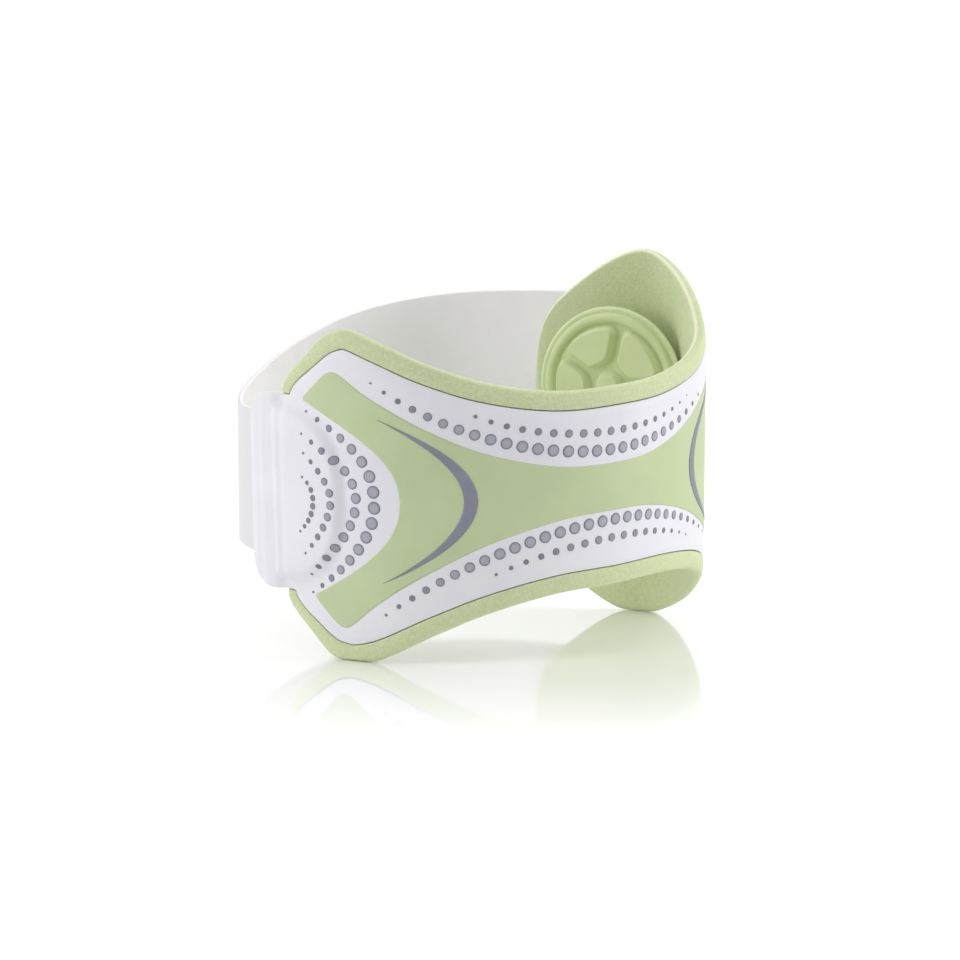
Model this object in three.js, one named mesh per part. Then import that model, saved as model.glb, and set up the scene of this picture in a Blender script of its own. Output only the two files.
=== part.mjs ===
// Elbow strap: a dog-bone shaped foam band with a printed cover, closed round the back by a brushed strap
// that a tongue of the cover holds, with a round pressure pad inside the wide lobe.
//
// Every piece is a wall bent round the arm. It is laid out flat first, in millimetres:
//   along   distance round the loop, from the middle of the print, towards the lobe
//   height  distance from the loop's mid-plane
//   depth   distance out from the foam's mid-surface, negative towards the arm
import * as THREE from 'three';

// Plan of the loop's edges: their distance from the arm's axis, every 30 degrees round from +X, cut by two
// flats at right angles to a line from the axis, one behind the pad and one beside it.
const LOOP_RADII = [51.9, 56.5, 52, 48.8, 51.4, 53.6, 53.2, 49.2, 48.9, 47.6, 46.9, 47.6];
const PLAN_FLATS = [
  { angle: THREE.MathUtils.degToRad(69), distance: 45 },
  { angle: THREE.MathUtils.degToRad(17), distance: 52 },
];
const FLAT_SOFTNESS = 2;
const FLAT_FACES = 0.5;
const PRINT_MIDDLE_ANGLE = THREE.MathUtils.degToRad(-49);
const PLAN_STEPS = 1440;

// The soft wall is pushed a little askew: its mid-line climbs towards +X and its left end is turned.
const SLANT = 0.037;
const TURNED_END = { turn: 0.037, from: 10, to: -60 };

// The stiff pad pushes the wall into a sharper corner. The push is full at the mid-plane and fades out
// evenly towards the edges.
const PAD_PUSH_FADES = 42;
const PAD_PUSH = [
  { along: 48, out: 0 },
  { along: 55, out: 1.2 },
  { along: 61, out: 2.7 },
  { along: 65, out: 3 },
  { along: 69, out: 1.2 },
  { along: 73, out: -0.9 },
  { along: 78, out: -1.8 },
  { along: 83, out: -1.5 },
  { along: 95, out: 0 },
];

// Foam band: outline, then its section with a puffed rim round the bed that the cover lies in
const FOAM_LEFT_END = -81;
const FOAM_LOBE_END = 103.9;
const FOAM_OUTLINE = [
  { along: FOAM_LEFT_END, half: 22 },
  { along: -78.3, half: 25.8 },
  { along: -73.2, half: 29.8 },
  { along: -67.3, half: 34.7 },
  { along: -64, half: 36.2 },
  { along: -60, half: 36.8 },
  { along: -52, half: 33.9 },
  { along: -42, half: 29.4 },
  { along: -30, half: 25.1 },
  { along: -15, half: 22.2 },
  { along: 0, half: 21.9 },
  { along: 15, half: 22.2 },
  { along: 30, half: 24.2 },
  { along: 40, half: 27.2 },
  { along: 47, half: 30.6 },
  { along: 52, half: 33.5 },
  { along: 58, half: 36.6 },
  { along: 64, half: 39.2 },
  { along: 70, half: 41.6 },
  { along: 74.5, half: 43.3 },
  { along: 78, half: 43.7 },
  { along: 82.5, half: 42.5 },
  { along: 87.5, half: 39.9 },
  { along: 92, half: 36.8 },
  { along: 96.5, half: 33.2 },
  { along: 99.9, half: 29.6 },
  { along: 102.2, half: 24.6 },
  { along: 103.4, half: 18 },
  { along: FOAM_LOBE_END, half: 8 },
];
const FOAM_INNER = -1.2;
const FOAM_CREST = 1.4;
const FOAM_RECESS = 0.4;
const FOAM_EDGE = { height: 1.1, shoulder: 0.35, shoulderShare: 0.12, tipShare: 0.35 };
const RIM = { width: 4.3, groove: 0.6, lip: 0.8, flatFrom: 0.4, fullFrom: 3 };
const RIM_END = { width: 3.3, from: -64, to: -74 };
const BED = { smallest: 1.5, margin: 0.6, lipMargin: 0.1 };
const FOAM_STATIONS = { count: 112, crowding: 0.65 };

// Cover panel, with the raised end and the swollen tongue past the foam's left end
const COVER_INNER = 0.8;
const COVER_THICKNESS = 0.8;
const COVER_EDGE = { height: 0.35, depth: 0.4, round: 0.2 };
const COVER_SHARES = [0.985, 0.9, 0.76, 0.6, 0.4, 0.2, 0];
const COVER_LOBE_GAP = 1;
const COVER_STATIONS = { count: 108, crowding: 0.6 };
const TONGUE_END = -91.5;
const TONGUE_OUTLINE = [
  { along: TONGUE_END, half: 15 },
  { along: -90.5, half: 18.4 },
  { along: -88.5, half: 20.6 },
  { along: -85, half: 21.8 },
  { along: FOAM_LEFT_END, half: 21.6 },
];
const TONGUE = { swell: 1.5, flatFrom: -79, fullFrom: -83, root: -75 };
const CREASE = { along: -81.2, width: 2.4, depth: 0.7 };
const RAISED_END = { start: -81.5, along: -80, reach: 19, half: 20, height: 1.5, crown: 0.8 };
const COVER_THINNEST = 0.65;

// Closure strap, from the lobe's outer face round the back to the tongue
const STRAP_START = 62;
const STRAP_OUTLINE = [
  { along: STRAP_START, half: 25 },
  { along: 63.5, half: 28.4 },
  { along: 66.5, half: 30.4 },
  { along: 80, half: 32.6 },
  { along: 100, half: 33.5 },
  { along: 125, half: 33 },
  { along: 148, half: 30 },
  { along: 168, half: 24.4 },
  { along: 186, half: 18.8 },
  { along: 202, half: 16.2 },
  { along: 218, half: 16 },
];
const STRAP_THICKNESS = 1.2;
const STRAP_EDGE = 0.45;
const STRAP_ON_LOBE = 1.9;
const STRAP_UNDER_TONGUE = -1.5;
const STRAP_LEAVES_LOBE = 106;
const STRAP_SETTLED = 172;
const STRAP_STOPS_BEFORE_FOAM = 1.2;
const STRAP_STATIONS = { count: 64, crowding: 0.5 };

// Hook patch between the tongue and the strap
const HOOK_PATCH = { start: -90.5, end: -82.5, half: 15, inner: 0, thickness: 0.5 };
const HOOK_STATIONS = { count: 4, crowding: 0 };

// Pressure pad: a moulded disc on the lobe's inner face, with an undercut flange. Its base follows the wall.
const PAD = { along: 81.4, height: 12.2, clearance: 0.3, reach: 14, span: 9, lift: 0.5, sides: 50 };
const PAD_BASE_RINGS = [6, 11.5];
const PAD_PROFILE = [
  { radius: 17.3, rise: 4.2 },
  { radius: 18.5, rise: 4.8 },
  { radius: 18.4, rise: 5.2 },
  { radius: 17.5, rise: 5.5 },
  { radius: 16.9, rise: 5.5 },
  { radius: 16.3, rise: 6.3 },
  { radius: 14.6, rise: 6.6 },
];
const PAD_SEGMENTS = { count: 5, turn: THREE.MathUtils.degToRad(5), inner: 5.2, outer: 14, groove: 0.5 };
const PAD_HUB_RADIUS = 4.5;
const PAD_BED = { floor: 6.4, crown: 7.6, slope: 0.9, rings: [14, 13.1, 10.4, 8, 6.1, 5.2, 4.5, 3.6] };

// The band stands on the lower edges of its left corner and its lobe, so the loop leans a little.
const STAND = { height: 39.3, leanX: 0, leanY: 0.066 };

// Colour and roughness of each piece
const FINISH = {
  foam: { color: '#c3d6a0', roughness: 0.85 },
  cover: { color: '#eeedf2', roughness: 0.6 },
  strap: { color: '#e6e5ea', roughness: 0.95 },
  hook: { color: '#dddce0', roughness: 0.8 },
  pad: { color: '#b9cd92', roughness: 0.7 },
};

// Smooth value between the rows of a table, with the slope at a row taken from its two neighbours.
function between(rows, along, column = 'half') {
  const last = rows.length - 1;
  if (along <= rows[0].along) return rows[0][column];
  if (along >= rows[last].along) return rows[last][column];
  const next = rows.findIndex((row) => row.along > along);
  const slope = (i) => {
    const a = rows[Math.max(i - 1, 0)];
    const b = rows[Math.min(i + 1, last)];
    return (b[column] - a[column]) / (b.along - a.along);
  };
  const from = rows[next - 1];
  const to = rows[next];
  const span = to.along - from.along;
  const t = (along - from.along) / span;
  const rise = to[column] - from[column];
  const ease = t * t * (3 - 2 * t);
  const pull = slope(next - 1) * t * (1 - t) ** 2 - slope(next) * t * t * (1 - t);
  return from[column] + rise * ease + pull * span;
}

// Eased share, 0 at from and 1 at to, which may lie either way round.
function smooth(from, to, value) {
  const t = THREE.MathUtils.clamp((value - from) / (to - from), 0, 1);
  return t * t * (3 - 2 * t);
}

// Closed smooth curve through the table of radii.
function ovalRadius(angle) {
  const count = LOOP_RADII.length;
  let sum = 0;
  for (let i = 0; i < count; i += 1) {
    const away = angle - (i * 2 * Math.PI) / count;
    const half = Math.tan(away / 2);
    if (Math.abs(half) < 1e-9) return LOOP_RADII[i];
    sum += (LOOP_RADII[i] * Math.sin((count * away) / 2)) / (count * half);
  }
  return sum;
}

// The oval, cut by the flats with a soft corner.
function loopRadius(angle) {
  return PLAN_FLATS.reduce((radius, flat) => {
    const turn = Math.cos(angle - flat.angle);
    if (turn < FLAT_FACES) return radius;
    const past = (radius - flat.distance / turn) / FLAT_SOFTNESS;
    return radius - FLAT_SOFTNESS * Math.log1p(Math.exp(past));
  }, ovalRadius(angle));
}

// Points of the plan at even angles, each with its distance round the loop.
function walkPlan() {
  const walk = [];
  let along = 0;
  for (let i = 0; i <= PLAN_STEPS; i += 1) {
    const angle = PRINT_MIDDLE_ANGLE + (i * 2 * Math.PI) / PLAN_STEPS;
    const radius = loopRadius(angle);
    const x = radius * Math.cos(angle);
    const y = radius * Math.sin(angle);
    if (i > 0) along += Math.hypot(x - walk[i - 1].x, y - walk[i - 1].y);
    walk.push({ along, x, y });
  }
  return walk;
}

const PLAN = walkPlan();
const LOOP_LENGTH = PLAN[PLAN_STEPS].along;
const STRAP_END = LOOP_LENGTH + FOAM_LEFT_END - STRAP_STOPS_BEFORE_FOAM;

// Point of the level loop at a flat place, before the loop leans on to its feet.
function bend(along, depth) {
  const wanted = THREE.MathUtils.euclideanModulo(along, LOOP_LENGTH);
  let low = 0;
  let high = PLAN_STEPS;
  while (high - low > 1) {
    const middle = (low + high) >> 1;
    if (PLAN[middle].along > wanted) high = middle;
    else low = middle;
  }
  const a = PLAN[low];
  const b = PLAN[high];
  const t = (wanted - a.along) / (b.along - a.along);
  const run = Math.hypot(b.x - a.x, b.y - a.y);
  return {
    x: a.x + (b.x - a.x) * t + ((b.y - a.y) / run) * depth,
    y: a.y + (b.y - a.y) * t - ((b.x - a.x) / run) * depth,
  };
}

// Point of a wall: lifted with the slant, and flattened where it would pass through the floor.
function wallPoint(along, { height, depth, raised = 0 }) {
  const turned = TURNED_END.turn * smooth(TURNED_END.from, TURNED_END.to, along);
  const pushed = between(PAD_PUSH, along, 'out') * (1 - Math.abs(height + raised) / PAD_PUSH_FADES);
  const { x, y } = bend(along - turned * (height + raised), depth + pushed);
  const floor = -STAND.height - STAND.leanX * x - STAND.leanY * y;
  return [x, y, Math.max(height + SLANT * x, floor) + raised];
}

// Half height of the foam, and of the cover that lies inside its rim.
function foamHalf(along) {
  return along > FOAM_LOBE_END ? 0 : between(FOAM_OUTLINE, along);
}

function coverHalf(along) {
  const tongue = along < TONGUE.root ? between(TONGUE_OUTLINE, along) : 0;
  if (along <= FOAM_LEFT_END) return tongue;
  const inset = RIM.width + (RIM_END.width - RIM.width) * smooth(RIM_END.from, RIM_END.to, along);
  const tries = 24;
  let half = Infinity;
  for (let i = -tries; i <= tries; i += 1) {
    const around = (Math.PI / 2) * (i / tries);
    const place = along + inset * Math.sin(around);
    if (place < FOAM_LEFT_END) continue;
    half = Math.min(half, foamHalf(place) - inset * Math.cos(around));
  }
  return Math.max(half, tongue, BED.smallest - RIM.groove);
}

// Stations from one end of a piece to the other, closer together near both ends.
function stations(start, end, { count, crowding }) {
  const list = [];
  for (let i = 0; i <= count; i += 1) {
    const t = i / count;
    const eased = (1 - Math.cos(Math.PI * t)) / 2;
    list.push(start + (end - start) * (t + (eased - t) * crowding));
  }
  return list;
}

function geometryOf(points, faces) {
  const geometry = new THREE.BufferGeometry();
  geometry.setAttribute('position', new THREE.Float32BufferAttribute(points.flat(), 3));
  geometry.setIndex(faces.flat());
  geometry.computeVertexNormals();
  return geometry;
}

// Wall bent round the loop. Each station has a ring of flat places {height, depth}, from the lower edge
// up the inner face and down the outer face, and all rings have the same number of places.
function wall(places, ringAt) {
  const rings = places.map(ringAt);
  const count = rings[0].length;
  const points = rings.flatMap((ring, station) => ring.map((place) => wallPoint(places[station], place)));
  const faces = [];
  for (let here = count; here < points.length; here += count) {
    const back = here - count;
    for (let i = 0; i < count; i += 1) {
      const j = (i + 1) % count;
      faces.push([back + i, here + j, here + i], [back + i, back + j, here + j]);
    }
  }
  const flat = ({ height, depth, raised = 0 }) => new THREE.Vector2(depth, height + raised);
  const end = points.length - count;
  const startCap = THREE.ShapeUtils.triangulateShape(rings[0].map(flat), []);
  const endCap = THREE.ShapeUtils.triangulateShape(rings[rings.length - 1].map(flat), []);
  startCap.forEach(([a, b, c]) => faces.push([a, b, c]));
  endCap.forEach(([a, b, c]) => faces.push([end + a, end + c, end + b]));
  return geometryOf(points, faces);
}

// Foam section: rounded edges, a puffed rim that fades out at the tongue, and a recess for the cover.
function foamRing(along) {
  const half = foamHalf(along);
  const edge = FOAM_EDGE.height;
  const wanted = coverHalf(along) + RIM.groove;
  const bed = THREE.MathUtils.clamp(wanted, BED.smallest, half - edge - BED.margin);
  const lip = Math.min(bed + RIM.lip, half - edge - BED.lipMargin);
  const crest = FOAM_RECESS + (FOAM_CREST - FOAM_RECESS) * smooth(RIM.flatFrom, RIM.fullFrom, half - wanted);
  const middle = wanted > BED.smallest ? FOAM_RECESS : crest;
  const through = (share) => THREE.MathUtils.lerp(FOAM_INNER, crest, share);
  const { shoulderShare, tipShare } = FOAM_EDGE;
  const shoulder = edge * FOAM_EDGE.shoulder;
  return [
    { height: -half, depth: through(tipShare) },
    { height: -half, depth: through(shoulderShare), raised: shoulder },
    { height: -half, depth: FOAM_INNER, raised: edge },
    { height: 0, depth: FOAM_INNER },
    { height: half - edge, depth: FOAM_INNER },
    { height: half - shoulder, depth: through(shoulderShare) },
    { height: half, depth: through(tipShare) },
    { height: half, depth: through(1 - tipShare) },
    { height: half - shoulder, depth: through(1 - shoulderShare) },
    { height: half - edge, depth: crest },
    { height: lip, depth: crest },
    { height: bed, depth: middle },
    { height: 0, depth: middle },
    { height: -bed, depth: middle },
    { height: -lip, depth: crest },
    { height: -half, depth: crest, raised: edge },
    { height: -half, depth: through(1 - shoulderShare), raised: shoulder },
    { height: -half, depth: through(1 - tipShare) },
  ];
}

// Thickness of the cover at a flat place: swollen tongue, crease at the foam's end, raised end.
function coverThickness(along, height) {
  const out = Math.hypot((along - RAISED_END.along) / RAISED_END.reach, height / RAISED_END.half);
  const raised = along < RAISED_END.start ? 0 : RAISED_END.height * smooth(1, RAISED_END.crown, out);
  const swell = TONGUE.swell * smooth(TONGUE.flatFrom, TONGUE.fullFrom, along);
  const fold = (along - CREASE.along) / CREASE.width;
  const crease = CREASE.depth * Math.exp(-fold * fold);
  return Math.max(COVER_THICKNESS + raised + swell - crease, COVER_THINNEST);
}

function coverRing(along) {
  const half = coverHalf(along);
  const edgeDepth = COVER_INNER + COVER_EDGE.depth;
  const outer = COVER_SHARES.map((share, i) => {
    const depth = COVER_INNER + coverThickness(along, share * half) - (i === 0 ? COVER_EDGE.round : 0);
    return { height: share * half, depth };
  });
  const lower = outer.slice(0, -1).reverse().map(({ height, depth }) => ({ height: -height, depth }));
  return [
    { height: -half + COVER_EDGE.height, depth: COVER_INNER },
    { height: 0, depth: COVER_INNER },
    { height: half - COVER_EDGE.height, depth: COVER_INNER },
    { height: half, depth: edgeDepth },
    ...outer,
    ...lower,
    { height: -half, depth: edgeDepth },
  ];
}

// Strap section: plain, with softened edges. It leaves the lobe's outer face and settles under the tongue.
function strapRing(along) {
  const half = between(STRAP_OUTLINE, along);
  const settle = smooth(STRAP_LEAVES_LOBE, STRAP_SETTLED, along);
  const inner = STRAP_ON_LOBE + (STRAP_UNDER_TONGUE - STRAP_ON_LOBE) * settle;
  const outer = inner + STRAP_THICKNESS;
  return [
    { height: -half + STRAP_EDGE, depth: inner },
    { height: 0, depth: inner },
    { height: half - STRAP_EDGE, depth: inner },
    { height: half, depth: inner + STRAP_EDGE },
    { height: half, depth: outer - STRAP_EDGE },
    { height: half - STRAP_EDGE, depth: outer },
    { height: 0, depth: outer },
    { height: -half + STRAP_EDGE, depth: outer },
    { height: -half, depth: outer - STRAP_EDGE },
    { height: -half, depth: inner + STRAP_EDGE },
  ];
}

function hookRing() {
  const { half, inner, thickness } = HOOK_PATCH;
  return [
    { height: -half, depth: inner },
    { height: half, depth: inner },
    { height: half, depth: inner + thickness },
    { height: -half, depth: inner + thickness },
  ];
}

// Rise of the pad's bed: a hub and a ring of raised segments, parted by grooves.
function padRise(radius, angle) {
  const { count, turn, inner, outer, groove } = PAD_SEGMENTS;
  const pitch = (2 * Math.PI) / count;
  const turned = THREE.MathUtils.euclideanModulo(angle - turn, pitch);
  const fromGroove = Math.min(turned, pitch - turned) * radius;
  const inRing = smooth(inner, inner + PAD_BED.slope, radius) * smooth(outer, outer - PAD_BED.slope, radius);
  const segment = inRing * smooth(groove, groove + PAD_BED.slope, fromGroove);
  const hub = smooth(PAD_HUB_RADIUS, PAD_HUB_RADIUS - PAD_BED.slope, radius);
  return PAD_BED.floor + (PAD_BED.crown - PAD_BED.floor) * Math.max(segment, hub);
}

// Frame of the pad on the lobe's inner face, from chords of the wall under it.
function padFrame() {
  const depth = FOAM_INNER - PAD.clearance;
  const at = (along, height) => new THREE.Vector3(...wallPoint(along, { height, depth }));
  const round = at(PAD.along - PAD.reach, PAD.height).sub(at(PAD.along + PAD.span, PAD.height)).normalize();
  const arm = at(PAD.along, PAD.height + PAD.span).sub(at(PAD.along, PAD.height - PAD.span));
  arm.crossVectors(round, arm).normalize();
  const frame = new THREE.Matrix4().makeBasis(round, arm.clone().cross(round), arm);
  return frame.setPosition(at(PAD.along, PAD.height));
}

// Pad: rings from the base's middle, round the flange and over the bed.
function padGeometry() {
  const frame = padFrame();
  const depth = FOAM_INNER - PAD.clearance;
  const onWall = (x, y) => wallPoint(PAD.along - x, { height: PAD.height + y, depth });
  const over = (x, y, rise) => new THREE.Vector3(x, y, rise + PAD.lift).applyMatrix4(frame).toArray();
  const overBed = (radius) => (x, y, angle) => over(x, y, padRise(radius, angle));
  const rings = [
    ...PAD_BASE_RINGS.map((radius) => ({ radius, place: onWall })),
    ...PAD_PROFILE.map(({ radius, rise }) => ({ radius, place: (x, y) => over(x, y, rise) })),
    ...PAD_BED.rings.map((radius) => ({ radius, place: overBed(radius) })),
  ];
  const points = [onWall(0, 0)];
  const faces = [];
  rings.forEach(({ radius, place }) => {
    for (let i = 0; i < PAD.sides; i += 1) {
      const angle = PAD_SEGMENTS.turn + (i * 2 * Math.PI) / PAD.sides;
      points.push(place(radius * Math.cos(angle), radius * Math.sin(angle), angle));
    }
  });
  const top = points.push(over(0, 0, padRise(0, 0))) - 1;
  const at = (row, i) => 1 + row * PAD.sides + (i % PAD.sides);
  const last = rings.length - 1;
  for (let i = 0; i < PAD.sides; i += 1) {
    faces.push([0, at(0, i + 1), at(0, i)]);
    for (let row = 1; row <= last; row += 1) {
      faces.push([at(row - 1, i), at(row, i + 1), at(row, i)]);
      faces.push([at(row - 1, i), at(row - 1, i + 1), at(row, i + 1)]);
    }
    faces.push([at(last, i), at(last, i + 1), top]);
  }
  return geometryOf(points, faces);
}

function piece(name, geometry, finish) {
  const mesh = new THREE.Mesh(geometry, new THREE.MeshStandardMaterial({ ...finish, metalness: 0 }));
  mesh.name = name;
  return mesh;
}

const foamPlaces = stations(FOAM_LEFT_END, FOAM_LOBE_END, FOAM_STATIONS);
const coverPlaces = stations(TONGUE_END, FOAM_LOBE_END - RIM.width - COVER_LOBE_GAP, COVER_STATIONS);
const strapPlaces = stations(STRAP_START, STRAP_END, STRAP_STATIONS);
const hookPlaces = stations(HOOK_PATCH.start, HOOK_PATCH.end, HOOK_STATIONS);

const strap = new THREE.Group();
strap.add(
  piece('foam_band', wall(foamPlaces, foamRing), FINISH.foam),
  piece('cover_panel', wall(coverPlaces, coverRing), FINISH.cover),
  piece('closure_strap', wall(strapPlaces, strapRing), FINISH.strap),
  piece('hook_patch', wall(hookPlaces, hookRing), FINISH.hook),
  piece('pressure_pad', padGeometry(), FINISH.pad),
);

// Lean the level loop until its two feet stand on z = 0, with the footprint's middle at the origin.
const floorNormal = new THREE.Vector3(STAND.leanX, STAND.leanY, 1).normalize();
strap.quaternion.setFromUnitVectors(floorNormal, new THREE.Vector3(0, 0, 1));
strap.position.z = STAND.height * floorNormal.z;
strap.updateMatrixWorld(true);
const footprint = new THREE.Box3().setFromObject(strap, true);
strap.position.x -= (footprint.min.x + footprint.max.x) / 2;
strap.position.y -= (footprint.min.y + footprint.max.y) / 2;

export default strap;
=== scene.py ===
"""Elbow strap with a pressure pad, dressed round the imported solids.

Every wall is laid out flat first, in millimetres, and then bent round the arm:
along is the distance round the loop from the middle of the print towards the
lobe, height the distance from the loop's mid-plane, and depth the distance out
from the foam's mid-surface, negative towards the arm.
"""
import logging
import math
from dataclasses import dataclass
from enum import Enum
from typing import Any

import bpy
import numpy as np
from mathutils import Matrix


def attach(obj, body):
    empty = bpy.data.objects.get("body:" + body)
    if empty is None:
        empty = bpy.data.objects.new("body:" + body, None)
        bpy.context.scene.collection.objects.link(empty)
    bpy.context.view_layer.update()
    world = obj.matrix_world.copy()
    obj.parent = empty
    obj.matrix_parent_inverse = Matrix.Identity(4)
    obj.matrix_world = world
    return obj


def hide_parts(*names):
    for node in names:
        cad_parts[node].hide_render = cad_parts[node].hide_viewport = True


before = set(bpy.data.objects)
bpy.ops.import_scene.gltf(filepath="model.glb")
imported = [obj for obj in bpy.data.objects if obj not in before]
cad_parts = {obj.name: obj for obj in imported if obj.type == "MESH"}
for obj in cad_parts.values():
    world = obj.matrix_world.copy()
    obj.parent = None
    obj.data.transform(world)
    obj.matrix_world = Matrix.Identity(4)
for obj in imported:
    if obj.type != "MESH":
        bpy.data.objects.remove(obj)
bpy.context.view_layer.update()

LOG = logging.getLogger("elbow_strap")
MM = 0.001
BODY = "root"
Array = np.ndarray
Rows = tuple[tuple[float, float], ...]


def smooth(start: float, end: float, value: Any) -> Array:
    """Eases from 0 at start to 1 at end.

    Args:
        start: Value at which the share is 0.
        end: Value at which the share is 1, on either side of start.
        value: Number or array to ease.

    Returns:
        The eased share, in the shape of value.
    """
    t = np.clip((np.asarray(value, float) - start) / (end - start), 0, 1)
    return t * t * (3 - 2 * t)


def between(rows: Rows, along: Any) -> Array:
    """Reads a table smoothly, with each row's slope taken from its neighbours.

    Args:
        rows: Pairs of place and value, in order of place.
        along: Places to read at; past an end the end row holds.

    Returns:
        The values at those places.
    """
    places, values = np.array(rows, float).T
    index = np.arange(len(places))
    before = np.maximum(index - 1, 0)
    after = np.minimum(index + 1, len(places) - 1)
    slopes = (values[after] - values[before]) / (places[after] - places[before])
    at = np.clip(np.asarray(along, float), places[0], places[-1])
    low = np.clip(np.searchsorted(places, at, side="right") - 1, 0, len(places) - 2)
    high = low + 1
    span = places[high] - places[low]
    t = (at - places[low]) / span
    ease = t * t * (3 - 2 * t)
    pull = slopes[low] * t * (1 - t) ** 2 - slopes[high] * t * t * (1 - t)
    return values[low] + (values[high] - values[low]) * ease + pull * span


def stations(start: float, end: float, count: int, crowding: float) -> Array:
    """Spreads places from start to end, closer together near both ends.

    Args:
        start: First place.
        end: Last place.
        count: Number of steps.
        crowding: 0 for even steps, 1 for fully eased ones.

    Returns:
        The places, count + 1 of them.
    """
    t = np.linspace(0, 1, count + 1)
    eased = (1 - np.cos(np.pi * t)) / 2
    return start + (end - start) * (t + (eased - t) * crowding)


def rounded_end(from_end: Array, radius: float, thinnest: float) -> Array:
    """Share of a wall's thickness near a rounded end.

    Args:
        from_end: Distance of each station from the end.
        radius: Distance over which the wall thins.
        thinnest: Share that is left at the very end.

    Returns:
        Shares as a column, one for each station.
    """
    left = 1 - np.clip(from_end / radius, 0, 1)
    return np.maximum(np.sqrt(1 - left ** 2), thinnest)[:, None]


def flat_places(along: Array, height: Array, depth: Array) -> Array:
    """Packs the flat coordinates of a wall's stations into triples."""
    return np.stack(np.broadcast_arrays(along[:, None], height, depth), axis=-1)


def linear(colour: str) -> tuple[float, float, float, float]:
    """Turns an sRGB hex colour into a linear RGBA one.

    Args:
        colour: Six hex digits after a hash.

    Returns:
        Linear red, green, blue and an alpha of 1.
    """
    parts = [int(colour[i:i + 2], 16) / 255 for i in (1, 3, 5)]
    red, green, blue = (
        c / 12.92 if c <= 0.04045 else ((c + 0.055) / 1.055) ** 2.4 for c in parts
    )
    return red, green, blue, 1.0


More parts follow.
